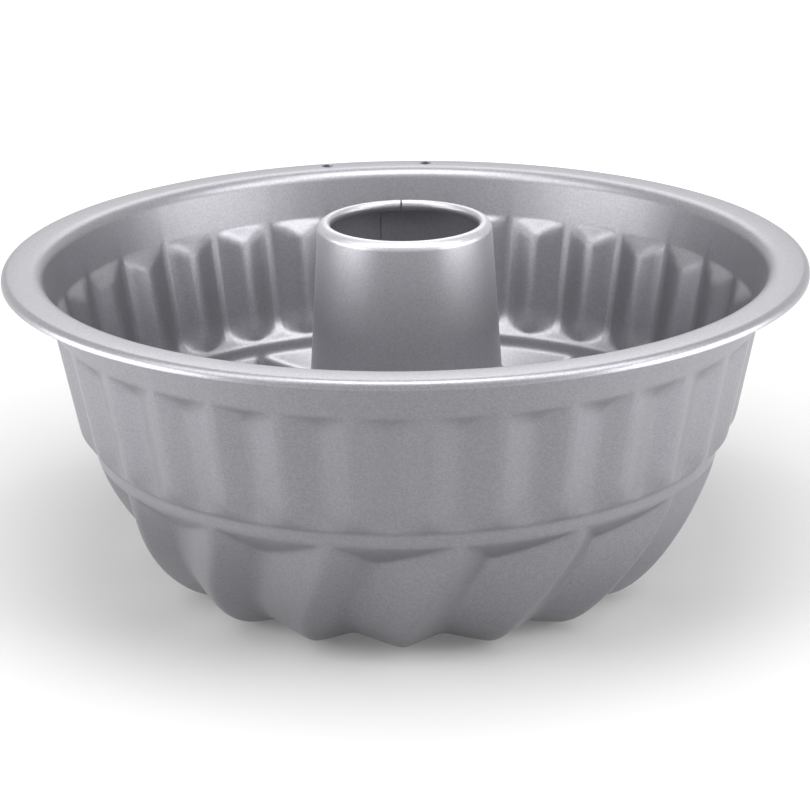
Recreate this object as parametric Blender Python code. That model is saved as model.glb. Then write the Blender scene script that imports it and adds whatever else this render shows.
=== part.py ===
"""Fluted tube pan: a pressed sheet pan and the rolled tube that is crimped into its floor.

The pan stands on its lobes at z = 0, with its open mouth up, and +Z runs up the middle of
the tube. Angles are measured from the front (-Y) and grow towards +X. Each piece is one
skin of quads, swept round from a list of stations, to which a Solidify gives the sheet's
thickness. The skin of the pan is the face that is turned away from the cake.
"""
import math

import bmesh
import bpy

MM = 0.001

# Sheet and fits
SHEET = 0.6 * MM
CLEARANCE = 0.3 * MM
SHARP_ANGLE = 30.0

# Rim: flat flange, its rolled inner edge and its turned-down outer lip
RIM_HEIGHT = 103.5 * MM
RIM_RADIUS = 125.0 * MM
FLANGE_WIDTH = 11.8 * MM
LIP_DROP = 2.6 * MM
LIP_RADIUS = 2.2 * MM
LIP_STEPS = 2
ROLL_RADIUS = 4.5 * MM
ROLL_STEPS = 2
HANG_HOLE_RADIUS = 2.0 * MM
HANG_HOLE_INSET = 5.3 * MM
HANG_HOLE_CIRCLE = RIM_RADIUS - HANG_HOLE_INSET
HANG_HOLE_ANGLES = (-167.1, 176.4)
HANG_HOLE_SIDES = 16

# Wall: a cone whose radius is MOUTH_RADIUS where it would meet the rim's plane
MOUTH_RADIUS = RIM_RADIUS - FLANGE_WIDTH
WALL_DRAFT = 11.2

# Flutes: straight pleats pressed into the wall, down to a plain ring, two above each lobe
LOBE_COUNT = 16
FLUTES_PER_LOBE = 2
FLUTE_ANGLE = 3.0
FLUTE_DEPTH = 2.9 * MM
FLUTE_FLAT = 3.2 * MM
FLUTE_TOP_DROP = 15.6 * MM
FLAT_MARGIN = 1.001

# Ends of the flutes: a steep step, given as its drop and its depth, and then a gentle arc
TOP_STEP = (1.85 * MM, 1.3 * MM)
TOP_RAMP = 6.0 * MM
FOOT_STEP = (3.1 * MM, 2.7 * MM)
FOOT_RAMP = 9.6 * MM

# Ring: the plain band between the flutes and the lobes
RING_RADIUS = 98.9 * MM
RING_FOOT_RADIUS = 98.0 * MM
RING_TOP_DROP = 54.7 * MM
RING_FOOT_DROP = 59.0 * MM

# Lobes: they turn as they go down from the ring to the crest that the pan stands on
LOBE_SWIRL = -10.3
LOBE_DEPTH_TOP = 7.8 * MM
LOBE_DEPTH_CREST = 3.65 * MM
LOBE_LEDGE = 8.6 * MM
LOBE_HOLLOW_TOP = 0.40
LOBE_HOLLOW_CREST = 0.44
LOBE_FLANK = 1.12
LOBE_POWER_IN = 1.03
LOBE_POWER_DOWN = 1.72
CREST_RADIUS = 61.8 * MM
CREST_LAND = 5.0 * MM
LOBE_STEPS = 4

# Floor: rises from the crest to a flat seat, whose inner edge is turned down as a collar
SEAT_HEIGHT = 14.0 * MM
SEAT_WIDTH = 2.5 * MM
FLOOR_CURVE = 1.7
FLOOR_STEPS = 2
COLLAR_LENGTH = 4.5 * MM

# Tube: a rolled cone with an inward curl at its top and a hem round the collar at its foot
TUBE_HEIGHT = 115.1 * MM
TUBE_TOP_RADIUS = 27.2 * MM
TUBE_DRAFT = 3.5
SHOULDER_RADIUS = 2.8 * MM
CURL_WIDTH = 1.2 * MM
CURL_HEIGHT = 1.7 * MM
CURL_TURN = 250.0
CURL_STEPS = 4
SHOULDER_STEPS = 3
HEM_LENGTH = 3.4 * MM
HEM_STEPS = 3
TUBE_SIDES = 48

# Seam of the tube: its inner ply laps under the outer one, and the curl's ends nearly meet
SEAM_ANGLE = 182.5
LAP_WIDTH = 6.5 * MM
LAP_SIDES = 3
SLIT_WIDTH = 0.6 * MM
SLIT_DEPTH = 5.0 * MM

# Coated steel, as the pan's outside and inside
COATING_COLOUR = (0.30, 0.30, 0.32, 1.0)
TUBE_COLOUR = (0.26, 0.26, 0.28, 1.0)
COATING_ROUGHNESS = 0.42
COATING_METALLIC = 0.75


class Station:
    """One ring of a skin: where its ridges lie and how deep its hollows sink.

    sink is the direction, in radius and height, in which flutes and lobes sink into the
    skin, swirl turns the ring about the axis, and hollow says where in a lobe its deepest
    line lies, as a share of the lobe's width.
    """

    def __init__(self, radius, height, flute=0.0, lobe=0.0, sink=(-1.0, 0.0), swirl=0.0,
                 hollow=LOBE_HOLLOW_CREST):
        self.radius = radius
        self.height = height
        self.flute = flute
        self.lobe = lobe
        self.sink = sink
        self.swirl = swirl
        self.hollow = hollow

    def point(self, angle):
        depth = self.flute * flute_wave(angle) + self.lobe * lobe_wave(angle, self.hollow)
        radius = self.radius + self.sink[0] * depth
        height = self.height + self.sink[1] * depth
        turned = math.radians(angle + self.swirl)
        return (radius * math.sin(turned), -radius * math.cos(turned), height)


def mix(first, second, share):
    return first + (second - first) * share


def ease(share):
    return share * share * (3.0 - 2.0 * share)


def wall_radius(drop):
    """Outer radius of the wall's cone, a given drop below the rim's plane."""
    return MOUTH_RADIUS - drop * math.tan(math.radians(WALL_DRAFT))


def flute_pitch():
    return 360.0 / (LOBE_COUNT * FLUTES_PER_LOBE)


def flat_angle():
    """The angle that the flat top of a ridge takes, at the middle of the flutes."""
    middle = wall_radius((FLUTE_TOP_DROP + RING_TOP_DROP) / 2)
    return math.degrees(FLUTE_FLAT / middle)


def stepped_depth(run, step, length, depth):
    """Depth after a run down a steep step and then an arc that ends level with the bottom."""
    step_run, step_depth = step
    if run <= step_run:
        return run * step_depth / step_run
    length, depth = length - step_run, depth - step_depth
    radius = (length * length + depth * depth) / (2.0 * depth)
    left = max(length - (run - step_run), 0.0)
    return step_depth + depth - radius + math.sqrt(radius * radius - left * left)


def flute_wave(angle):
    """0 on a flute's ridge, 1 in its valley, and straight flanks between the two flats."""
    turns = (angle - FLUTE_ANGLE) / flute_pitch()
    from_ridge = abs(turns - round(turns))
    flat = flat_angle() / flute_pitch()
    return min(max((from_ridge - flat / 2) / (0.5 - flat), 0.0), 1.0)


def lobe_wave(angle, hollow):
    """0 on a lobe's ridge and 1 in its hollow, with a short flank and a long one.

    A ridge starts below a flute's valley and keeps that valley's flat, which at the crest
    becomes the land that the pan stands on. FLAT_MARGIN holds the flat's two edges at 0.
    The flanks are straight, and LOBE_FLANK above 1 cuts the hollow between them off flat.
    """
    first_ridge = FLUTE_ANGLE + flute_pitch() / 2
    turns = (angle - first_ridge) * LOBE_COUNT / 360.0
    share = turns - math.floor(turns)
    flat = FLAT_MARGIN * flat_angle() / 2 * LOBE_COUNT / 360.0
    if share < hollow:
        slope = (share - flat) / (hollow - flat)
    else:
        slope = (1.0 - flat - share) / (1.0 - flat - hollow)
    return min(LOBE_FLANK * max(slope, 0.0), 1.0)


def pan_angles():
    """Four columns for each flute: the two edges of its ridge and the two of its valley."""
    edge = flat_angle() / 2
    valley = flute_pitch() / 2
    angles = []
    for number in range(LOBE_COUNT * FLUTES_PER_LOBE):
        ridge = FLUTE_ANGLE + number * flute_pitch()
        for offset in (-edge, edge, valley - edge, valley + edge):
            angles.append(ridge + offset)
    return angles


def roll_centre():
    """Radius of the middle of the inner roll, where the flange's flat begins."""
    bend = ROLL_RADIUS - SHEET
    sweep = math.radians(90.0 - WALL_DRAFT)
    foot_drop = SHEET + bend * (1.0 - math.cos(sweep))
    return wall_radius(foot_drop) + bend * math.sin(sweep)


def rim_stations():
    """The lip, from its edge up, the underside of the flange, and the roll into the wall."""
    under = RIM_HEIGHT - SHEET
    bend = LIP_RADIUS - SHEET
    stations = [Station(RIM_RADIUS - SHEET, RIM_HEIGHT - LIP_DROP)]
    for step in range(LIP_STEPS + 1):
        turn = math.radians(90.0 * step / LIP_STEPS)
        stations.append(Station(RIM_RADIUS - LIP_RADIUS + bend * math.cos(turn),
                                under - bend + bend * math.sin(turn)))
    bend = ROLL_RADIUS - SHEET
    for step in range(ROLL_STEPS + 1):
        turn = math.radians((90.0 - WALL_DRAFT) * step / ROLL_STEPS)
        radius = roll_centre() - bend * math.sin(turn)
        stations.append(Station(radius, under - bend * (1.0 - math.cos(turn))))
    return stations


def wall_station(drop):
    """Valleys sink below the flutes' top, and ridges come in to the ring at their foot."""
    room = wall_radius(RING_TOP_DROP) - RING_RADIUS
    near_ring = ease(max(1.0 - (RING_TOP_DROP - drop) / FOOT_RAMP, 0.0))
    valley = min(stepped_depth(drop - FLUTE_TOP_DROP, TOP_STEP, TOP_RAMP, FLUTE_DEPTH),
                 mix(FLUTE_DEPTH, room, near_ring))
    ridge = room - stepped_depth(RING_TOP_DROP - drop, FOOT_STEP, FOOT_RAMP, room)
    return Station(wall_radius(drop) - ridge, RIM_HEIGHT - drop, flute=valley - ridge)


def wall_stations():
    """The flutes, from the plain band under the rim down to the plain ring."""
    drops = [FLUTE_TOP_DROP + run for run in (0.0, TOP_STEP[0], TOP_RAMP)]
    drops += [RING_TOP_DROP - run for run in (FOOT_RAMP, FOOT_STEP[0], 0.0)]
    stations = [wall_station(drop) for drop in drops]
    stations.append(Station(RING_FOOT_RADIUS, RIM_HEIGHT - RING_FOOT_DROP))
    return stations


def lobe_station(turn):
    """A station on the lobes' round outline: turn is 0 at the ring and 90 at the crest."""
    ring_foot = RIM_HEIGHT - RING_FOOT_DROP
    across = RING_FOOT_RADIUS - (CREST_RADIUS + CREST_LAND / 2)
    cosine = math.cos(math.radians(turn))
    sine = math.sin(math.radians(turn))
    fallen = sine ** LOBE_POWER_DOWN
    radius = CREST_RADIUS + CREST_LAND / 2 + across * cosine ** LOBE_POWER_IN
    height = ring_foot * (1.0 - fallen)
    inward = -ring_foot * LOBE_POWER_DOWN * sine ** (LOBE_POWER_DOWN - 1.0) * cosine
    upward = across * LOBE_POWER_IN * cosine ** (LOBE_POWER_IN - 1.0) * sine
    size = math.hypot(inward, upward)
    return Station(
        radius, height,
        lobe=mix(LOBE_DEPTH_TOP, LOBE_DEPTH_CREST, fallen),
        sink=(inward / size, upward / size),
        swirl=LOBE_SWIRL * ease(fallen),
        hollow=mix(LOBE_HOLLOW_TOP, LOBE_HOLLOW_CREST, ease(fallen)))


def lobe_stations():
    """The ledge under the ring, the lobes' round sides, and the land that they stand on."""
    ring_foot = RIM_HEIGHT - RING_FOOT_DROP
    ledge_turn = math.degrees(math.asin((LOBE_LEDGE / ring_foot) ** (1.0 / LOBE_POWER_DOWN)))
    stations = [lobe_station(mix(ledge_turn, 90.0, step / LOBE_STEPS))
                for step in range(LOBE_STEPS)]
    for side in (0.5, -0.5):
        stations.append(Station(CREST_RADIUS + CREST_LAND * side, 0.0, lobe=LOBE_DEPTH_CREST,
                                sink=(0.0, 1.0), swirl=LOBE_SWIRL))
    return stations


def tube_radius(height):
    """Outer radius of the tube's cone at a height."""
    return TUBE_TOP_RADIUS + (TUBE_HEIGHT - height) * math.tan(math.radians(TUBE_DRAFT))


def collar_outside():
    """Outer radius of the collar, which stands round the tube's foot."""
    return tube_radius(SEAT_HEIGHT + SHEET) + CLEARANCE + SHEET


def floor_stations():
    """The rise from the crest to the seat, and the collar turned down round the tube."""
    rise_start = CREST_RADIUS - CREST_LAND / 2
    seat_edge = collar_outside() + SEAT_WIDTH
    stations = []
    for step in range(1, FLOOR_STEPS + 1):
        share = step / FLOOR_STEPS
        stations.append(Station(
            mix(rise_start, seat_edge, share), SEAT_HEIGHT * share ** FLOOR_CURVE,
            lobe=LOBE_DEPTH_CREST * (1.0 - share), sink=(0.0, 1.0), swirl=LOBE_SWIRL))
    for height in (SEAT_HEIGHT, SEAT_HEIGHT - COLLAR_LENGTH):
        stations.append(Station(collar_outside(), height, swirl=LOBE_SWIRL))
    return stations


def curl_stations():
    """The curl at the top of the tube, from its hidden end up, and the round shoulder."""
    crest_radius = TUBE_TOP_RADIUS - SHOULDER_RADIUS
    stations = []
    for step in range(CURL_STEPS):
        turn = math.radians(mix(CURL_TURN, 90.0, step / CURL_STEPS))
        stations.append(Station(crest_radius + CURL_WIDTH * math.cos(turn),
                                TUBE_HEIGHT - CURL_HEIGHT * (1.0 - math.sin(turn))))
    for step in range(SHOULDER_STEPS + 1):
        turn = math.radians(mix(90.0, -TUBE_DRAFT, step / SHOULDER_STEPS))
        stations.append(Station(crest_radius + SHOULDER_RADIUS * math.cos(turn),
                                TUBE_HEIGHT - SHOULDER_RADIUS * (1.0 - math.sin(turn))))
    return stations


def hem_stations():
    """The straight foot inside the collar, the bend below it and the hem outside it."""
    foot = tube_radius(SEAT_HEIGHT + SHEET)
    hem = collar_outside() + CLEARANCE
    bend = (hem - foot) / 2
    bend_height = SEAT_HEIGHT - COLLAR_LENGTH - CLEARANCE
    stations = [Station(foot, SEAT_HEIGHT + SHEET)]
    for step in range(HEM_STEPS + 1):
        turn = math.radians(180.0 + 180.0 * step / HEM_STEPS)
        stations.append(Station(foot + bend + bend * math.cos(turn),
                                bend_height + bend * math.sin(turn)))
    stations.append(Station(hem, bend_height + HEM_LENGTH))
    return stations


def skin_mesh(name, stations, angles, whole_turn):
    """A band of quads through the stations, with its faces turned to their outside."""
    mesh = bpy.data.meshes.new(name)
    bm = bmesh.new()
    rings = [[bm.verts.new(station.point(angle)) for angle in angles] for station in stations]
    count = len(angles)
    for upper, lower in zip(rings, rings[1:]):
        for column in range(count if whole_turn else count - 1):
            after = (column + 1) % count
            bm.faces.new((upper[column], lower[column], lower[after], upper[after]))
    bm.to_mesh(mesh)
    bm.free()
    return mesh


def coating(name, colour):
    material = bpy.data.materials.new(name)
    material.use_nodes = True
    shader = material.node_tree.nodes["Principled BSDF"]
    shader.inputs["Base Color"].default_value = colour
    shader.inputs["Roughness"].default_value = COATING_ROUGHNESS
    shader.inputs["Metallic"].default_value = COATING_METALLIC
    return material


def linked(name, mesh):
    item = bpy.data.objects.new(name, mesh)
    bpy.context.scene.collection.objects.link(item)
    return item


def thicken(item, thickness):
    """Gives a skin its thickness, on the side that it faces away from."""
    sheet = item.modifiers.new("Sheet", "SOLIDIFY")
    sheet.thickness = thickness
    sheet.offset = -1.0
    sheet.use_even_offset = True


def sheet_piece(name, stations, angles, material):
    piece = linked(name, skin_mesh(name, stations, angles, whole_turn=True))
    piece.data.materials.append(material)
    piece.data.shade_smooth()
    piece.data.set_sharp_from_angle(angle=math.radians(SHARP_ANGLE))
    thicken(piece, SHEET)
    return piece


def join_guide(piece, guide, operation):
    """Adds a guide's solid to a piece, or takes it away, and leaves the guide out of the model."""
    guide.hide_render = True
    guide.display_type = "WIRE"
    change = piece.modifiers.new(guide.name, "BOOLEAN")
    change.operation = operation
    change.solver = "EXACT"
    change.object = guide


def hole_guide(name, angle):
    """A cylinder through the flange, where a hanging hole goes."""
    length = 2 * HANG_HOLE_RADIUS
    bm = bmesh.new()
    bmesh.ops.create_cone(bm, cap_ends=True, segments=HANG_HOLE_SIDES,
                          radius1=HANG_HOLE_RADIUS, radius2=HANG_HOLE_RADIUS, depth=length)
    mesh = bpy.data.meshes.new(name)
    bm.to_mesh(mesh)
    bm.free()
    guide = linked(name, mesh)
    turned = math.radians(angle)
    guide.location = (HANG_HOLE_CIRCLE * math.sin(turned), -HANG_HOLE_CIRCLE * math.cos(turned),
                      RIM_HEIGHT - SHEET / 2)
    return guide


def lap_guide(name):
    """The inner ply of the tube's seam, from the middle of the wall to one sheet inside it."""
    heights = (TUBE_HEIGHT - 2 * CURL_HEIGHT - SHEET, SEAT_HEIGHT + SHEET)
    stations = [Station(tube_radius(height) - SHEET / 2, height) for height in heights]
    width = math.degrees(LAP_WIDTH / TUBE_TOP_RADIUS)
    angles = [SEAM_ANGLE + width * side / LAP_SIDES for side in range(LAP_SIDES + 1)]
    guide = linked(name, skin_mesh(name, stations, angles, whole_turn=False))
    thicken(guide, SHEET / 2 + SHEET)
    return guide


def slit_guide(name):
    """A thin upright slab across the curl, where the two ends of the rolled sheet part."""
    across_curl = 2 * (SHOULDER_RADIUS + CURL_WIDTH)
    bm = bmesh.new()
    bmesh.ops.create_cube(bm, size=1.0)
    bmesh.ops.scale(bm, vec=(SLIT_WIDTH, across_curl, 2 * SLIT_DEPTH), verts=bm.verts)
    mesh = bpy.data.meshes.new(name)
    bm.to_mesh(mesh)
    bm.free()
    guide = linked(name, mesh)
    turned = math.radians(SEAM_ANGLE)
    distance = TUBE_TOP_RADIUS - (SHOULDER_RADIUS + CURL_WIDTH) / 2
    guide.location = (distance * math.sin(turned), -distance * math.cos(turned), TUBE_HEIGHT)
    guide.rotation_euler = (0.0, 0.0, turned)
    return guide


def make_pan_shell():
    stations = rim_stations() + wall_stations() + lobe_stations() + floor_stations()
    shell = sheet_piece("pan_shell", stations, pan_angles(), coating("pan_coating", COATING_COLOUR))
    for number, angle in enumerate(HANG_HOLE_ANGLES, start=1):
        join_guide(shell, hole_guide("hanging_hole_guide_%d" % number, angle), "DIFFERENCE")
    return shell


def make_centre_tube():
    angles = [360.0 * side / TUBE_SIDES for side in range(TUBE_SIDES)]
    stations = curl_stations() + hem_stations()
    tube = sheet_piece("centre_tube", stations, angles, coating("tube_coating", TUBE_COLOUR))
    join_guide(tube, lap_guide("lap_guide"), "UNION")
    join_guide(tube, slit_guide("slit_guide"), "DIFFERENCE")
    return tube


def clear_scene():
    for item in list(bpy.data.objects):
        bpy.data.objects.remove(item, do_unlink=True)


clear_scene()
make_pan_shell()
make_centre_tube()
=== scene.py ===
# %% [markdown]
# # A fluted tube pan
#
# This lesson dresses a measured model of a cake pan for its picture. The real pan is one thin
# sheet of steel, pressed into flutes and turning lobes, with a rolled tube crimped into its
# floor, and both pieces wear a satin non-stick coating. We build each piece again with finer
# curves than the measured model has, give it a coating that is made of nodes, and light it
# as a small studio would.

# %% Load the measured pan
import math

import bmesh
import bpy
from mathutils import Matrix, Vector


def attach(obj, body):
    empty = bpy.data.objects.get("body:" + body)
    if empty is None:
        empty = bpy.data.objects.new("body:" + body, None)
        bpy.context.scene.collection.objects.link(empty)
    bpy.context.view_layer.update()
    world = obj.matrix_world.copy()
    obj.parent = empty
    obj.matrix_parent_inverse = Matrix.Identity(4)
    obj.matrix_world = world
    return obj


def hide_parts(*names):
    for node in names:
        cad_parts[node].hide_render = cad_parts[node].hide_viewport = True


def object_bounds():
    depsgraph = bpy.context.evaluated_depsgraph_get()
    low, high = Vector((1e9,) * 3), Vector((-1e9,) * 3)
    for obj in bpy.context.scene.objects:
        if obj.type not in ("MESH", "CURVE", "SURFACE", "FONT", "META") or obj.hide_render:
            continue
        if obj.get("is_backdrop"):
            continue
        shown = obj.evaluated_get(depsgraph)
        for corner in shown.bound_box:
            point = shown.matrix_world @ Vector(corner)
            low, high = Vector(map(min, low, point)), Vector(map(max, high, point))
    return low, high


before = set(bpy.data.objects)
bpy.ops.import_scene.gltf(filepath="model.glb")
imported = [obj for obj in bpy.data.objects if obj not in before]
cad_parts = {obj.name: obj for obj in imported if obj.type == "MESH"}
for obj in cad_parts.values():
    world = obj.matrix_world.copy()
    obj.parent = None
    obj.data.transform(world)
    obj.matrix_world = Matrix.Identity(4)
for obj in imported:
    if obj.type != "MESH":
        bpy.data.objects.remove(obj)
measured_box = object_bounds()
print("pieces to dress:", sorted(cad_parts))

# %% [markdown]
# Sizes are written in millimetres, as a pan's maker would write them, and one name turns them
# into Blender's metres. Heights are measured up from the table, and a drop is measured down
# from the flat of the rim. The sheet is 0.6 mm thick: stiff enough once it is pleated, and
# thin enough to heat up fast.

# %% The sheet and the height of its rim
MM = 0.001
SHEET = 0.6 * MM
RIM_HEIGHT = 103.5 * MM
print("sheet", round(SHEET / MM, 1), "mm, rim at", round(RIM_HEIGHT / MM, 1), "mm")

# %% [markdown]
# Pressed metal has no sharp creases. Two small helpers join surfaces the way a press does:
# the deeper or the shallower of two depths wins, and where they are nearly equal the corner
# between them is rounded off. All of the pan's creases are made with these two.

# %% Rounded corners between two surfaces


def mix(first, second, share):
    return first + (second - first) * share


def ease(share):
    share = min(max(share, 0.0), 1.0)
    return share * share * (3.0 - 2.0 * share)


def soft_min(first, second, corner):
    """The smaller of two depths, rounded off where they differ by less than the corner."""
    corner = max(min(corner, max(first, second)), 1e-9)
    blend = max(corner - abs(first - second), 0.0) / corner
    return min(first, second) - blend * blend * corner / 4.0


def soft_max(first, second, corner):
    """The larger of two depths, rounded off in the same way."""
    blend = max(corner - abs(first - second), 0.0) / corner
    return max(first, second) + blend * blend * corner / 4.0


def ramp_depth(run, length, depth, power):
    """Depth after a run down a ramp that starts steep and ends level with the bottom."""
    if run <= 0.0:
        return run * power * depth / length
    return depth * (1.0 - max(1.0 - run / length, 0.0) ** power)


CREASE = 0.6 * MM
print("creases are rounded over about", round(CREASE / MM, 1), "mm")

# %% [markdown]
# The wall is a cone, and the flutes are straight pleats that are pressed into it. They stiffen
# the thin sheet and give the cake its pattern. Seen from above a pleat is a ridge, a flank, a
# valley and a flank. At its top a smooth ramp leads down into the valley, steep at first, and
# because the flanks slope too, the edge between them comes out as an arc without our drawing
# one. At the foot the ridges come in to the plain ring on a ramp of their own, and the valleys
# widen towards it. That gives every flank the shape of a leaf.

# %% The wall and its flutes
MOUTH_RADIUS = 113.2 * MM
WALL_DRAFT = 11.2
LOBE_COUNT = 16
FLUTES_PER_LOBE = 2
FLUTE_PITCH = 360.0 / (LOBE_COUNT * FLUTES_PER_LOBE)
FLUTE_ANGLE = 3.0
FLUTE_DEPTH = 2.9 * MM
FLUTE_TOP_DROP = 15.6 * MM
TOP_RAMP = 6.2 * MM
TOP_POWER = 1.55
FOOT_RAMP = 10.5 * MM
FOOT_POWER = 3.0
RING_RADIUS = 98.9 * MM
RING_FOOT_RADIUS = 98.0 * MM
RING_TOP_DROP = 54.7 * MM
RING_FOOT_DROP = 59.0 * MM
RIDGE_FLAT = 2.3 * MM
RIDGE_CORNER = 1.1 * MM
VALLEY_FLAT = 2.2 * MM
VALLEY_CORNER = 2.1 * MM
VALLEY_WIDENING = 1.35
WIDENED_CORNER = 0.2


def wall_radius(drop):
    return MOUTH_RADIUS - drop * math.tan(math.radians(WALL_DRAFT))


def ring_radius(drop):
    share = (drop - RING_TOP_DROP) / (RING_FOOT_DROP - RING_TOP_DROP)
    return mix(RING_RADIUS, RING_FOOT_RADIUS, share)


def pleat(angle):
    """0 on a flute's ridge and 1 in its valley, with rounded corners."""
    pitch = math.radians(FLUTE_PITCH) * wall_radius(RING_TOP_DROP)
    turns = (angle - FLUTE_ANGLE) / FLUTE_PITCH
    from_ridge = abs(turns - round(turns)) * pitch
    flank = (pitch - RIDGE_FLAT - VALLEY_FLAT) / 2
    climb = (from_ridge - RIDGE_FLAT / 2) / flank
    if climb < 0.5:
        return soft_max(climb, 0.0, RIDGE_CORNER / flank)
    return 1.0 - soft_max(1.0 - climb, 0.0, VALLEY_CORNER / flank)


def wall_point(angle, drop):
    """Radius and height of the outside of the wall, from the flange down to the ring's foot."""
    room = wall_radius(drop) - ring_radius(drop)
    near_ring = ease((drop - RING_TOP_DROP + FOOT_RAMP) / FOOT_RAMP)
    widened = soft_min(pleat(angle) * VALLEY_WIDENING, 1.0, WIDENED_CORNER)
    full = mix(pleat(angle), widened, near_ring) * mix(FLUTE_DEPTH, room, near_ring)
    ramp = ramp_depth(drop - FLUTE_TOP_DROP, TOP_RAMP, FLUTE_DEPTH, TOP_POWER)
    depth = soft_min(full, soft_max(ramp, 0.0, CREASE), CREASE)
    rise = ramp_depth(RING_TOP_DROP - drop, FOOT_RAMP, room, FOOT_POWER)
    depth = min(soft_max(depth, room - soft_max(rise, 0.0, CREASE), CREASE), room)
    return wall_radius(drop) - depth, RIM_HEIGHT - drop


print(LOBE_COUNT * FLUTES_PER_LOBE, "flutes,", round(FLUTE_DEPTH / MM, 1), "mm deep")

# %% [markdown]
# The lobes go round the lower half of the pan. Each is a wide wave with straight flanks that
# turns about the axis as it goes down, a long flank on one side and a short one on the other.
# Its outline from the ring to the table is an arc whose two powers set how round it is: one
# for how far it comes in, and one for how far it falls.

# %% The lobes
LOBE_SWIRL = -10.3
LOBE_DEPTH_TOP = 7.8 * MM
LOBE_DEPTH_CREST = 3.65 * MM
LOBE_LEDGE = 12.5 * MM
LOBE_HOLLOW_TOP = 0.40
LOBE_HOLLOW_CREST = 0.44
LOBE_POWER_IN = 0.95
LOBE_POWER_DOWN = 1.72
CREST_RADIUS = 61.8 * MM
FIRST_RIDGE = FLUTE_ANGLE + FLUTE_PITCH / 2
RIDGE_ROUND = 0.22
HOLLOW_ROUND = 0.36


def lobe_wave(angle, hollow):
    """0 on a lobe's ridge and 1 in the hollow beside it, with a short flank and a long one."""
    turns = (angle - FIRST_RIDGE) * LOBE_COUNT / 360.0
    share = turns - math.floor(turns)
    from_ridge = share if share < hollow else share - 1.0
    short, long = from_ridge / hollow, -from_ridge / (1.0 - hollow)
    rounded_ridge = soft_max(short, long, RIDGE_ROUND) - max(short, long)
    climb = soft_min(share / hollow, (1.0 - share) / (1.0 - hollow), HOLLOW_ROUND)
    return (climb + rounded_ridge - RIDGE_ROUND / 4) / (1.0 - RIDGE_ROUND / 4 - HOLLOW_ROUND / 4)


def lobe_point(angle, turn):
    """Turned angle, radius and height on a lobe: turn is 0 at the ring and 90 at the crest."""
    ring_foot = RIM_HEIGHT - RING_FOOT_DROP
    across = RING_FOOT_RADIUS - CREST_RADIUS
    cosine = max(math.cos(math.radians(turn)), 1e-6)
    sine = max(math.sin(math.radians(turn)), 1e-6)
    fallen = sine ** LOBE_POWER_DOWN
    inward = ring_foot * LOBE_POWER_DOWN * sine ** (LOBE_POWER_DOWN - 1.0) * cosine
    upward = across * LOBE_POWER_IN * cosine ** (LOBE_POWER_IN - 1.0) * sine
    size = math.hypot(inward, upward)
    full = mix(LOBE_DEPTH_TOP, LOBE_DEPTH_CREST, fallen)
    full *= lobe_wave(angle, mix(LOBE_HOLLOW_TOP, LOBE_HOLLOW_CREST, ease(fallen)))
    ledge = soft_max(ring_foot * fallen * LOBE_DEPTH_TOP / LOBE_LEDGE, 0.0, CREASE)
    depth = soft_min(full, ledge, CREASE)
    radius = CREST_RADIUS + across * cosine ** LOBE_POWER_IN - depth * inward / size
    height = ring_foot * (1.0 - fallen) + depth * upward / size
    return angle + LOBE_SWIRL * ease(fallen), radius, height


print(LOBE_COUNT, "lobes, which turn by", LOBE_SWIRL, "degrees on their way down")

# %% [markdown]
# The floor climbs from the crest to a flat seat round the tube, where it is turned down as a
# short collar. The lobes fade out on the way. The tube's foot is crimped round the collar, so
# the collar's radius is worked out from the tube's cone and the room between the two sheets.

# %% The floor and its collar
SEAT_HEIGHT = 14.0 * MM
SEAT_WIDTH = 2.5 * MM
COLLAR_LENGTH = 4.5 * MM
CLEARANCE = 0.3 * MM
TUBE_HEIGHT = 115.1 * MM
TUBE_TOP_RADIUS = 27.2 * MM
TUBE_DRAFT = 3.5


def tube_radius(height):
    return TUBE_TOP_RADIUS + (TUBE_HEIGHT - height) * math.tan(math.radians(TUBE_DRAFT))


TUBE_FOOT_RADIUS = tube_radius(SEAT_HEIGHT + SHEET)
COLLAR_RADIUS = TUBE_FOOT_RADIUS + CLEARANCE + SHEET


def floor_point(angle, share):
    """Share is 0 at the crest and 1 at the seat."""
    radius = mix(CREST_RADIUS, COLLAR_RADIUS + SEAT_WIDTH, share)
    depth = LOBE_DEPTH_CREST * lobe_wave(angle, LOBE_HOLLOW_CREST) * (1.0 - ease(share))
    return angle + LOBE_SWIRL, radius, SEAT_HEIGHT * ease(share) + depth


print("the collar's radius is", round(COLLAR_RADIUS / MM, 2), "mm")

# %% [markdown]
# The rim makes the pan stiff and safe to hold. The flange is flat, a roll leads from it into
# the wall, and its outer edge is turned down as a short lip, so that the cut edge of the sheet
# faces the table and not a hand. Both bends are arcs.

# %% The rim's rows
RIM_RADIUS = 124.93 * MM
LIP_DROP = 2.6 * MM
LIP_RADIUS = 2.2 * MM
LIP_STEPS = 4
ROLL_RADIUS = 4.5 * MM
ROLL_STEPS = 8


def roll_centre():
    bend = ROLL_RADIUS - SHEET
    sweep = math.radians(90.0 - WALL_DRAFT)
    return wall_radius(SHEET + bend * (1.0 - math.cos(sweep))) + bend * math.sin(sweep)


def rim_rows():
    """Radius and height on the underside of the rim, from the lip's edge to the wall."""
    under = RIM_HEIGHT - SHEET
    bend = LIP_RADIUS - SHEET
    rows = [(RIM_RADIUS - SHEET, RIM_HEIGHT - LIP_DROP)]
    for step in range(LIP_STEPS + 1):
        turn = math.radians(90.0 * step / LIP_STEPS)
        rows.append((RIM_RADIUS - LIP_RADIUS + bend * math.cos(turn),
                     under - bend + bend * math.sin(turn)))
    bend = ROLL_RADIUS - SHEET
    for step in range(ROLL_STEPS + 1):
        turn = math.radians((90.0 - WALL_DRAFT) * step / ROLL_STEPS)
        rows.append((roll_centre() - bend * math.sin(turn),
                     under - bend * (1.0 - math.cos(turn))))
    return rows


print("the rim takes", len(rim_rows()), "rows")

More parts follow.
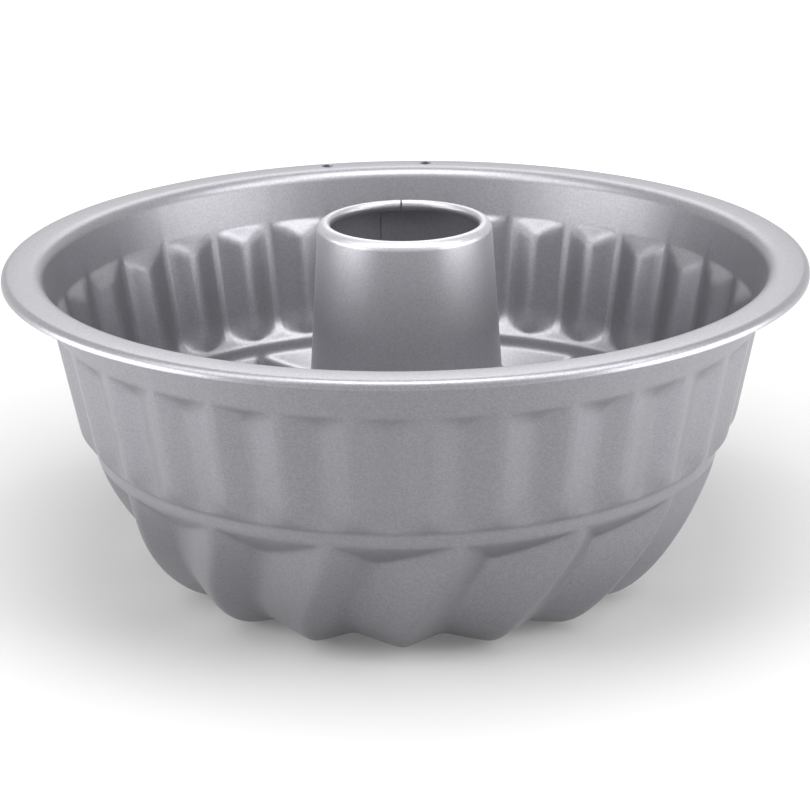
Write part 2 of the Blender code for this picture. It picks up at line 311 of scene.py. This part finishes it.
# %% [markdown]
# One lobe and the two flutes above it are a sixteenth of the pan. We lay that sector out as a
# grid of points, whose columns go across it. On the wall the columns gather at the flutes'
# corners, where the shape changes fastest, and on the lobes they are even.

# %% The columns
HALF_PLEAT = (0.0, 0.06, 0.114, 0.168, 0.475, 0.787, 0.891)
COLUMNS = 2 * FLUTES_PER_LOBE * len(HALF_PLEAT)


def even_columns():
    return [FIRST_RIDGE + 360.0 / LOBE_COUNT * column / COLUMNS for column in range(COLUMNS + 1)]


def pleat_columns():
    """From valley to valley to valley, with more columns at the corners of each pleat."""
    to_ridge = [1.0 - share for share in reversed(HALF_PLEAT)]
    from_ridge = [1.0 + share for share in HALF_PLEAT]
    half_pitches = []
    for flute in range(FLUTES_PER_LOBE):
        half_pitches += [0.0 + 2 * flute] + [place + 2 * flute for place in to_ridge[:-1]]
        half_pitches += [place + 2 * flute for place in from_ridge]
    half_pitches.append(2.0 * FLUTES_PER_LOBE)
    return [FIRST_RIDGE + FLUTE_PITCH / 2 * place for place in half_pitches]


print("a sector has", COLUMNS, "columns")

# %% [markdown]
# The rows go from the lip's edge, over the flange, down the wall and the lobe, and in to the
# collar. They lie close together where a ramp starts or ends, and far apart on the straight
# stretch of a flute, where more of them would show nothing.

# %% The rows
FINE_ROW = 0.5 * MM
LOBE_TURN_STEP = 3.2
FLOOR_STEP = 0.08


def steps_between(start, stop, step):
    """Even places from the start up to the stop, which is left to the next stretch."""
    count = max(1, math.ceil((stop - start) / step))
    return [mix(start, stop, number / count) for number in range(count)]


def wall_drops():
    top, foot = FLUTE_TOP_DROP, RING_TOP_DROP
    drops = steps_between(top - CREASE, top + TOP_RAMP / 3, FINE_ROW)
    drops += steps_between(top + TOP_RAMP / 3, top + TOP_RAMP, 2 * FINE_ROW)
    drops += steps_between(top + TOP_RAMP, foot - FOOT_RAMP, 20 * FINE_ROW)
    drops += steps_between(foot - FOOT_RAMP, foot - FOOT_RAMP / 3, 2.5 * FINE_ROW)
    drops += steps_between(foot - FOOT_RAMP / 3, foot + CREASE, FINE_ROW)
    return drops + steps_between(foot + CREASE, RING_FOOT_DROP, 2 * FINE_ROW)


def lobe_turns():
    """Even drops under the ring, where the ledge is, and then even turns to the crest."""
    ring_foot = RIM_HEIGHT - RING_FOOT_DROP
    turns = [math.degrees(math.asin((drop / ring_foot) ** (1.0 / LOBE_POWER_DOWN)))
             for drop in steps_between(0.0, LOBE_LEDGE + CREASE, FINE_ROW) + [LOBE_LEDGE + CREASE]]
    return turns[:-1] + steps_between(turns[-1], 90.0, LOBE_TURN_STEP)


def sector_rows():
    """Each row is its columns and a function from an angle to a turned angle, radius, height."""
    rows = [(pleat_columns(), lambda angle, place=place: (angle,) + place)
            for place in rim_rows()]
    for drop in wall_drops():
        rows.append((pleat_columns(), lambda angle, drop=drop: (angle,) + wall_point(angle, drop)))
    for turn in lobe_turns():
        rows.append((even_columns(), lambda angle, turn=turn: lobe_point(angle, turn)))
    for share in steps_between(0.0, 1.0, FLOOR_STEP) + [1.0]:
        rows.append((even_columns(), lambda angle, share=share: floor_point(angle, share)))
    for height in (SEAT_HEIGHT, SEAT_HEIGHT - COLLAR_LENGTH):
        rows.append((even_columns(), lambda angle, height=height: (
            angle + LOBE_SWIRL, COLLAR_RADIUS, height)))
    return rows


print("the wall takes", len(wall_drops()), "rows and a lobe", len(lobe_turns()))

# %% [markdown]
# The sector's mesh is a skin without thickness, the face that is turned away from the cake.
# Each point is turned about the axis by its angle, and each four of them make a face.

# %% The sector's mesh


def sector_mesh(name):
    rows = sector_rows()
    bm = bmesh.new()
    grid = []
    for angles, place in rows:
        line = []
        for angle in angles:
            turned, radius, height = place(angle)
            turned = math.radians(turned)
            line.append(bm.verts.new((radius * math.sin(turned),
                                      -radius * math.cos(turned), height)))
        grid.append(line)
    for upper, lower in zip(grid, grid[1:]):
        for column in range(COLUMNS):
            bm.faces.new((upper[column], lower[column], lower[column + 1], upper[column + 1]))
    mesh = bpy.data.meshes.new(name)
    bm.to_mesh(mesh)
    bm.free()
    return mesh


sector = sector_mesh("coated_pan")
print("one sector has", len(sector.polygons), "faces")

# %% [markdown]
# One function turns a colour written as sRGB hex into the linear numbers that Blender works
# in, and one adds a node to any tree. Every node tree below is made with them.

# %% Helpers for colours and nodes


def linear(hex_colour):
    """An sRGB colour such as "9A9AA0" as linear red, green, blue and alpha."""
    channels = [int(hex_colour[start:start + 2], 16) / 255.0 for start in (0, 2, 4)]
    return [c / 12.92 if c <= 0.04045 else ((c + 0.055) / 1.055) ** 2.4 for c in channels] + [1.0]


def add_node(tree, kind, settings=None, links=None):
    """Adds a node. Settings are properties or socket values, and links go to its inputs."""
    node = tree.nodes.new(kind)
    for name, value in (settings or {}).items():
        if isinstance(name, str) and hasattr(node, name):
            setattr(node, name, value)
        else:
            node.inputs[name].default_value = value
    for name, socket in (links or {}).items():
        tree.links.new(socket, node.inputs[name])
    return node


print("mid grey is", [round(channel, 3) for channel in linear("808080")])

# %% [markdown]
# Geometry Nodes repeat the sector round the axis. A cloud of points at the centre gives one
# copy for each lobe, each turned by its own number, and the copies are made real and welded
# along their edges. The sector and the tree share one value for the number of lobes.

# %% The tree that repeats a sector


def repeat_tree():
    tree = bpy.data.node_groups.new("Repeat round the axis", "GeometryNodeTree")
    sockets = tree.interface
    sockets.new_socket("Geometry", in_out="OUTPUT", socket_type="NodeSocketGeometry")
    sockets.new_socket("Sector", in_out="INPUT", socket_type="NodeSocketGeometry")
    sockets.new_socket("Lobes", in_out="INPUT", socket_type="NodeSocketInt")
    sockets.new_socket("Weld distance", in_out="INPUT", socket_type="NodeSocketFloat")
    sockets.new_socket("Coating", in_out="INPUT", socket_type="NodeSocketMaterial")
    given = add_node(tree, "NodeGroupInput").outputs
    centre = add_node(tree, "GeometryNodePoints", links={"Count": given["Lobes"]})
    number = add_node(tree, "GeometryNodeInputIndex")
    pitch = add_node(tree, "ShaderNodeMath", {"operation": "DIVIDE", 0: math.tau},
                     {1: given["Lobes"]})
    turn = add_node(tree, "ShaderNodeMath", {"operation": "MULTIPLY"},
                    {0: number.outputs[0], 1: pitch.outputs[0]})
    about_axis = add_node(tree, "ShaderNodeCombineXYZ", links={"Z": turn.outputs[0]})
    copies = add_node(tree, "GeometryNodeInstanceOnPoints", links={
        "Points": centre.outputs[0], "Instance": given["Sector"],
        "Rotation": about_axis.outputs[0]})
    real = add_node(tree, "GeometryNodeRealizeInstances", links={"Geometry": copies.outputs[0]})
    welded = add_node(tree, "GeometryNodeMergeByDistance", links={
        "Geometry": real.outputs[0], "Distance": given["Weld distance"]})
    coated = add_node(tree, "GeometryNodeSetMaterial", links={
        "Geometry": welded.outputs[0], "Material": given["Coating"]})
    add_node(tree, "NodeGroupOutput", links={"Geometry": coated.outputs[0]})
    return tree


def set_inputs(modifier, values):
    """Sets a tree's inputs by the identifiers of the sockets with these names."""
    for item in modifier.node_group.interface.items_tree:
        if item.item_type == "SOCKET" and item.name in values:
            modifier[item.identifier] = values[item.name]


round_the_axis = repeat_tree()
print(round_the_axis.name, "has", len(round_the_axis.nodes), "nodes")

# %% [markdown]
# The finish of both pieces is a non-stick coating, sprayed on and baked. It is a resin with
# fine metal flakes in it, so it is half a paint and half a metal: the eye sees a satin grey,
# a soft sheen where the pan turns towards a lamp, and a very fine sparkle.

# %% The coating
FLAKE_SIZE = 0.4 * MM
GLOSS_SPREAD = 0.02
ORANGE_PEEL_SIZE = 1.1 * MM
ORANGE_PEEL_DEPTH = 0.02 * MM
ORANGE_PEEL_STRENGTH = 0.25


def coating(name, shade, pale, metallic, roughness):
    """A baked non-stick coating: satin, with flakes that vary its colour and its gloss."""
    material = bpy.data.materials.new(name)
    material.use_nodes = True
    tree = material.node_tree
    tree.nodes.clear()
    place = add_node(tree, "ShaderNodeTexCoord").outputs["Object"]
    flakes = add_node(tree, "ShaderNodeTexVoronoi", {"Scale": 1.0 / FLAKE_SIZE},
                      {"Vector": place})
    flake = add_node(tree, "ShaderNodeSeparateColor", links={"Color": flakes.outputs["Color"]})
    peel = add_node(tree, "ShaderNodeTexNoise", {"Scale": 1.0 / ORANGE_PEEL_SIZE, "Detail": 2.0},
                    {"Vector": place})
    tint = add_node(tree, "ShaderNodeMix", {"data_type": "RGBA", 6: linear(shade),
                                            7: linear(pale)}, {0: flake.outputs["Red"]})
    gloss = add_node(tree, "ShaderNodeMapRange", {"To Min": roughness - GLOSS_SPREAD,
                                                  "To Max": roughness + GLOSS_SPREAD},
                     {"Value": flake.outputs["Green"]})
    relief = add_node(tree, "ShaderNodeBump", {"Strength": ORANGE_PEEL_STRENGTH,
                                               "Distance": ORANGE_PEEL_DEPTH},
                      {"Height": peel.outputs[0]})
    shader = add_node(tree, "ShaderNodeBsdfPrincipled", {"Metallic": metallic}, {
        "Base Color": tint.outputs[2], "Roughness": gloss.outputs[0],
        "Normal": relief.outputs[0]})
    add_node(tree, "ShaderNodeOutputMaterial", links={"Surface": shader.outputs[0]})
    return material


pan_coating = coating("Satin non-stick coating on pressed steel",
                      shade="848388", pale="919095", metallic=0.72, roughness=0.36)
# The tube wears the pan's coating, but its copy is painted paler, which stands in for light on the
# tube.
tube_coating_painted_paler = coating("Satin non-stick coating on rolled steel, painted paler",
                       shade="A9A8AD", pale="B7B6BB", metallic=0.70, roughness=0.38)
print("coatings:", pan_coating.name, "and", tube_coating_painted_paler.name)

# %% [markdown]
# A piece is finished in the same order as the real one: the skin is shaped, it gets the
# sheet's thickness on its inner side, and holes are punched. The modifiers are then made
# part of the mesh, so that what is kept is a plain mesh.

# %% Finishing a piece
SHARP_ANGLE = 38.0


def linked(name, mesh):
    item = bpy.data.objects.new(name, mesh)
    bpy.context.scene.collection.objects.link(item)
    return item


def thicken(item):
    sheet = item.modifiers.new("Sheet", "SOLIDIFY")
    sheet.thickness = SHEET
    sheet.offset = -1.0
    sheet.use_even_offset = True


def cut(item, guide, operation="DIFFERENCE"):
    change = item.modifiers.new(guide.name, "BOOLEAN")
    change.operation = operation
    change.solver = "EXACT"
    change.object = guide


def made_plain(item, material, guides=()):
    """Makes an object's modifiers part of its mesh, and removes the guides that they used."""
    view = bpy.context.evaluated_depsgraph_get()
    mesh = bpy.data.meshes.new_from_object(item.evaluated_get(view))
    item.modifiers.clear()
    old = item.data
    item.data = mesh
    bpy.data.meshes.remove(old)
    mesh.name = item.name
    for guide in guides:
        bpy.data.objects.remove(guide, do_unlink=True)
    mesh.materials.clear()
    mesh.materials.append(material)
    mesh.shade_smooth()
    mesh.set_sharp_from_angle(angle=math.radians(SHARP_ANGLE))
    print(item.name, "has", len(mesh.polygons), "faces")
    return item


print("edges of more than", SHARP_ANGLE, "degrees stay sharp")

# %% [markdown]
# Two holes near the back of the flange let the pan hang on hooks. A press punches them through
# the flat sheet, so here a round guide is cut out of it.

# %% The hanging holes
HANG_HOLE_RADIUS = 2.0 * MM
HANG_HOLE_CIRCLE = 119.7 * MM
HANG_HOLE_ANGLES = (-167.1, 176.4)
HANG_HOLE_SIDES = 40


def hole_guide(name, angle):
    bm = bmesh.new()
    bmesh.ops.create_cone(bm, cap_ends=True, segments=HANG_HOLE_SIDES, radius1=HANG_HOLE_RADIUS,
                          radius2=HANG_HOLE_RADIUS, depth=2 * HANG_HOLE_RADIUS)
    mesh = bpy.data.meshes.new(name)
    bm.to_mesh(mesh)
    bm.free()
    guide = linked(name, mesh)
    turned = math.radians(angle)
    guide.location = (HANG_HOLE_CIRCLE * math.sin(turned), -HANG_HOLE_CIRCLE * math.cos(turned),
                      RIM_HEIGHT - SHEET / 2)
    return guide


print("the holes are", round(2 * HANG_HOLE_RADIUS / MM, 1), "mm wide")

# %% [markdown]
# Now the pan is put together. The tree repeats the sector sixteen times and welds the seams,
# the skin gets its thickness towards the inside, and the holes come last, as in the press.

# %% The pan
WELD_DISTANCE = 0.01 * MM

pan = linked("coated_pan", sector)
repeat = pan.modifiers.new("Lobes", "NODES")
repeat.node_group = round_the_axis
set_inputs(repeat, {"Lobes": LOBE_COUNT, "Weld distance": WELD_DISTANCE,
                    "Coating": pan_coating})
thicken(pan)
hole_guides = [hole_guide("hole_guide_%d" % number, angle)
               for number, angle in enumerate(HANG_HOLE_ANGLES, start=1)]
for guide in hole_guides:
    cut(pan, guide)
made_plain(pan, pan_coating, hole_guides)
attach(pan, "root")
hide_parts("pan_shell")

# %% [markdown]
# The tube is rolled from a flat blank, so it has a seam at the back: one edge laps under the
# other on the inside, and the two ends of the curl at the top do not quite meet. Its outline
# is a straight cone with a curl at the top, which hides the cut edge, and a hem at the foot.

# %% The tube's profile
SHOULDER_RADIUS = 2.8 * MM
CURL_WIDTH = 1.2 * MM
CURL_HEIGHT = 1.7 * MM
CURL_TURN = 250.0
CURL_STEPS = 12
HEM_LENGTH = 3.4 * MM
HEM_STEPS = 8
TUBE_SIDES = 160


def tube_profile():
    """Radius and height on the tube's outside, from the curl's hidden end to the hem's."""
    crest_radius = TUBE_TOP_RADIUS - SHOULDER_RADIUS
    places = []
    for turn in [mix(CURL_TURN, 90.0, step / CURL_STEPS) for step in range(CURL_STEPS)]:
        places.append((crest_radius + CURL_WIDTH * math.cos(math.radians(turn)),
                       TUBE_HEIGHT - CURL_HEIGHT * (1.0 - math.sin(math.radians(turn)))))
    for turn in [mix(90.0, -TUBE_DRAFT, step / CURL_STEPS) for step in range(CURL_STEPS + 1)]:
        places.append((crest_radius + SHOULDER_RADIUS * math.cos(math.radians(turn)),
                       TUBE_HEIGHT - SHOULDER_RADIUS * (1.0 - math.sin(math.radians(turn)))))
    places.append((TUBE_FOOT_RADIUS, SEAT_HEIGHT + SHEET))
    hem = COLLAR_RADIUS + CLEARANCE
    bend = (hem - TUBE_FOOT_RADIUS) / 2
    bend_height = SEAT_HEIGHT - COLLAR_LENGTH - CLEARANCE
    for step in range(HEM_STEPS + 1):
        turn = math.radians(180.0 + 180.0 * step / HEM_STEPS)
        places.append((TUBE_FOOT_RADIUS + bend + bend * math.cos(turn),
                       bend_height + bend * math.sin(turn)))
    places.append((hem, bend_height + HEM_LENGTH))
    return places


def spun_mesh(name, profile, angles, closed):
    bm = bmesh.new()
    rings = [[bm.verts.new((radius * math.sin(math.radians(angle)),
                            -radius * math.cos(math.radians(angle)), height))
              for angle in angles] for radius, height in profile]
    count = len(angles)
    for upper, lower in zip(rings, rings[1:]):
        for column in range(count if closed else count - 1):
            after = (column + 1) % count
            bm.faces.new((upper[column], lower[column], lower[after], upper[after]))
    mesh = bpy.data.meshes.new(name)
    bm.to_mesh(mesh)
    bm.free()
    return mesh


print("the tube's outline has", len(tube_profile()), "points")

# %% [markdown]
# The lap is a second ply of sheet inside the tube, 6.5 mm wide, and here it is joined to the
# first. The slit is a thin cut in the curl, where the rolled blank's two ends meet. It stops
# short of the tube's outside.

# %% The lap and the slit of the seam
SEAM_ANGLE = 182.5
LAP_WIDTH = 6.5 * MM
LAP_SIDES = 6
SLIT_WIDTH = 0.5 * MM
SLIT_DEPTH = 5.0 * MM
SLIT_SHORT = 0.7 * MM


def lap_guide(name):
    heights = (TUBE_HEIGHT - 2 * CURL_HEIGHT - SHEET, SEAT_HEIGHT + SHEET)
    profile = [(tube_radius(height) - SHEET / 2, height) for height in heights]
    width = math.degrees(LAP_WIDTH / TUBE_TOP_RADIUS)
    angles = [SEAM_ANGLE + width * side / LAP_SIDES for side in range(LAP_SIDES + 1)]
    guide = linked(name, spun_mesh(name, profile, angles, closed=False))
    thicken(guide)
    guide.modifiers["Sheet"].thickness = SHEET / 2 + SHEET
    return guide


def slit_guide(name):
    bm = bmesh.new()
    bmesh.ops.create_cube(bm, size=1.0)
    across_curl = 2 * SHOULDER_RADIUS + CURL_WIDTH - SLIT_SHORT
    bmesh.ops.scale(bm, vec=(SLIT_WIDTH, across_curl, 2 * SLIT_DEPTH), verts=bm.verts)
    mesh = bpy.data.meshes.new(name)
    bm.to_mesh(mesh)
    bm.free()
    guide = linked(name, mesh)
    turned = math.radians(SEAM_ANGLE)
    distance = TUBE_TOP_RADIUS - SLIT_SHORT - across_curl / 2
    guide.location = (distance * math.sin(turned), -distance * math.cos(turned), TUBE_HEIGHT)
    guide.rotation_euler = (0.0, 0.0, turned)
    return guide


print("the lap is", round(LAP_WIDTH / MM, 1), "mm wide, the slit", round(SLIT_WIDTH / MM, 1))

# %% [markdown]
# The tube is spun from its outline and thickened like the pan. Then the lap is added, and the
# slit is cut last.

# %% The tube
sides = [360.0 * side / TUBE_SIDES for side in range(TUBE_SIDES)]
tube = linked("coated_tube", spun_mesh("coated_tube", tube_profile(), sides, closed=True))
thicken(tube)
lap = lap_guide("lap_guide")
slit = slit_guide("slit_guide")
cut(tube, lap, "UNION")
cut(tube, slit)
made_plain(tube, tube_coating_painted_paler, (lap, slit))
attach(tube, "root")
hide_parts("centre_tube")

# %% [markdown]
# The pan stands on a plain white table. A satin metal shows what is around it, so the camera and
# the coating have to see the same white table and the same white room. The part of that white that
# is only for looking at sends out no light, so the lamps alone light the pan, and its soft shadow
# stays on the table. Near the pan that white is dimmed, which is painted shade round the pan, and
# the coating mirrors that painted shade too.

# %% What is only for looking at
LOOKS_TOO = ("Is Glossy Ray", "Is Transmission Ray")


def looked_at(tree):
    """1 where the camera looks, straight or by way of a reflection or a clear thing."""
    path = add_node(tree, "ShaderNodeLightPath")
    seen = path.outputs["Is Camera Ray"]
    for kind in LOOKS_TOO:
        either = add_node(tree, "ShaderNodeMath", {"operation": "MAXIMUM"},
                          {0: seen, 1: path.outputs[kind]})
        seen = either.outputs[0]
    return seen


print("counted as looks besides the camera's own:", LOOKS_TOO)

# %% [markdown]
# The table is matt, because a gloss would mirror the pan. Its glow grows with the distance from
# the pan, so the far table is as white as the room. The dimmer glow near the pan is painted shade
# round it, on top of the soft shadow that the lamps cast, and the coating mirrors it.

# %% The table
TABLE_SIZE = 4.0
TABLE_COLOUR = "BCBCBC"
# The low glow near the pan is painted shade round the pan, which the coating mirrors.
TABLE_GLOW_NEAR_PAINTED_SHADE = 0.14
TABLE_GLOW_FAR = 0.66
GLOW_REACH = (0.15, 0.50)


def table_paint():
    """Matt white paint, with a glow that only a look can see and that grows outwards; its low glow
    near the pan is painted shade.
    """
    material = bpy.data.materials.new("Matt white paint")
    material.use_nodes = True
    tree = material.node_tree
    tree.nodes.clear()
    matt = add_node(tree, "ShaderNodeBsdfDiffuse", {"Color": linear(TABLE_COLOUR)})
    place = add_node(tree, "ShaderNodeTexCoord").outputs["Object"]
    away = add_node(tree, "ShaderNodeVectorMath", {"operation": "LENGTH"}, {0: place})
    rising = add_node(tree, "ShaderNodeMapRange", {
        "From Min": GLOW_REACH[0], "From Max": GLOW_REACH[1],
        "To Min": TABLE_GLOW_NEAR_PAINTED_SHADE, "To Max": TABLE_GLOW_FAR}, {"Value": away.outputs["Value"]})
    glow = add_node(tree, "ShaderNodeEmission", {"Color": linear("FFFFFF")},
                    {"Strength": rising.outputs[0]})
    bright = add_node(tree, "ShaderNodeAddShader", links={0: matt.outputs[0], 1: glow.outputs[0]})
    both = add_node(tree, "ShaderNodeMixShader", links={
        0: looked_at(tree), 1: matt.outputs[0], 2: bright.outputs[0]})
    add_node(tree, "ShaderNodeOutputMaterial", links={"Surface": both.outputs[0]})
    return material


def table_top():
    bm = bmesh.new()
    bmesh.ops.create_grid(bm, x_segments=1, y_segments=1, size=TABLE_SIZE / 2)
    mesh = bpy.data.meshes.new("table")
    bm.to_mesh(mesh)
    bm.free()
    mesh.materials.append(table_paint())
    return linked("table", mesh)


table = table_top()
table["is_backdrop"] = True
print("the table is", TABLE_SIZE, "m wide")

# %% [markdown]
# A satin metal shows its surroundings as soft light and dark, so the lamps are large and
# their places matter more than their power. A lamp here is a soft box: a bright rectangle that
# is placed on a circle round the pan and turned to face it.

# %% The studio's lamps
LAMP_AIM = (0.0, 0.0, 0.06)


def lamp(name, place, aim, size, watts):
    """A rectangular soft box at a place, turned to face a point, with sizes in metres."""
    data = bpy.data.lights.new(name, "AREA")
    data.shape = "RECTANGLE"
    data.size, data.size_y = size
    data.energy = watts
    item = linked(name, data)
    item.location = place
    direction = [a - p for a, p in zip(aim, place)]
    turn = math.atan2(-direction[0], direction[1])
    tilt = math.atan2(math.hypot(direction[0], direction[1]), -direction[2])
    item.rotation_euler = (tilt, 0.0, turn)
    return item


def lamp_round(name, azimuth, elevation, distance, size, watts):
    """A soft box round the pan: azimuth 0 is on the camera's side, and 90 on the right."""
    turn, rise = math.radians(azimuth), math.radians(elevation)
    place = (distance * math.cos(rise) * math.sin(turn),
             -distance * math.cos(rise) * math.cos(turn),
             LAMP_AIM[2] + distance * math.sin(rise))
    print(name, "at", [round(number, 2) for number in place], "m,", watts, "W")
    return lamp(name, place, LAMP_AIM, size, watts)


print("the lamps face", LAMP_AIM)

# %% [markdown]
# The strongest soft box hangs over the pan and fills its inside. One stands behind it, and one
# on each side of the camera. Two low boxes stand beside the pan, with their middles as high as
# its rim. They light the flutes' flanks on the outside, and what passes over the rim also
# brightens the band inside it.

# %% The lamps in their places
SOFT_BOX = (0.8, 0.8)
LOW_BOX = (0.4, 0.16)

lamp_round("overhead soft box", 0.0, 76.0, 1.3, SOFT_BOX, 14.5)
lamp_round("back soft box", 180.0, 42.0, 1.3, SOFT_BOX, 4.5)
lamp_round("right front soft box", 60.0, 45.0, 1.3, SOFT_BOX, 8.6)
lamp_round("left front soft box", -60.0, 45.0, 1.3, SOFT_BOX, 7.0)
for side, hand in (("right", 1.0), ("left", -1.0)):
    lamp_round(side + " low box", hand * 74.0, 5.1, 0.45, LOW_BOX, 1.7)

# %% [markdown]
# The room adds almost no light of its own, and yet it looks white, both behind the pan and in
# the coating. Standard is the view that shows each colour as it was written.

# %% The room's own light
ROOM_LIGHT = 0.02
ROOM_SEEN = 1.0


def room():
    world = bpy.data.worlds.new("Studio room")
    bpy.context.scene.world = world
    world.use_nodes = True
    tree = world.node_tree
    tree.nodes.clear()
    light = add_node(tree, "ShaderNodeBackground", {"Color": linear("FFFFFF"),
                                                    "Strength": ROOM_LIGHT})
    seen = add_node(tree, "ShaderNodeBackground", {"Color": linear("FFFFFF"),
                                                   "Strength": ROOM_SEEN})
    both = add_node(tree, "ShaderNodeMixShader", links={
        0: looked_at(tree), 1: light.outputs[0], 2: seen.outputs[0]})
    add_node(tree, "ShaderNodeOutputWorld", links={"Surface": both.outputs[0]})


room()
bpy.context.scene.view_settings.view_transform = "Standard"
print("the room lights the pan at", ROOM_LIGHT, "and looks as bright as", ROOM_SEEN)

# %% [markdown]
# The camera stands almost a metre in front of the pan and looks down at it by nineteen
# degrees. A long lens keeps the rim's ellipse as flat as it looks in a shop's picture.

# %% The camera
CAMERA_PITCH = 18.678
CAMERA_DISTANCE = 929.5 * MM
CAMERA_ROLL = -0.696
CAMERA_AIM = (-0.59 * MM, 0.0, 54.67 * MM)
FOCAL_PIXELS = 2939.0
FRAME_PIXELS = 810
SENSOR_WIDTH = 36.0


def camera():
    data = bpy.data.cameras.new("camera")
    data.sensor_width = SENSOR_WIDTH
    data.lens = FOCAL_PIXELS / FRAME_PIXELS * SENSOR_WIDTH
    item = linked("camera", data)
    pitch = math.radians(CAMERA_PITCH)
    item.location = (CAMERA_AIM[0], CAMERA_AIM[1] - CAMERA_DISTANCE * math.cos(pitch),
                     CAMERA_AIM[2] + CAMERA_DISTANCE * math.sin(pitch))
    level = Matrix.Rotation(math.pi / 2 - pitch, 3, "X")
    rolled = level @ Matrix.Rotation(math.radians(CAMERA_ROLL), 3, "Z")
    item.rotation_euler = rolled.to_euler()
    bpy.context.scene.camera = item
    return item


front_camera = camera()
print("the camera's lens is", round(front_camera.data.lens, 1), "mm long")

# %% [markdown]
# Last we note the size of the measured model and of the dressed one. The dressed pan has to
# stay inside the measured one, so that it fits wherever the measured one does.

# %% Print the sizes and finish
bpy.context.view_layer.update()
for kind, box in (("measured", measured_box), ("dressed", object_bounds())):
    print(kind, [round((high - low) / MM, 2) for low, high in zip(*box)], "mm")
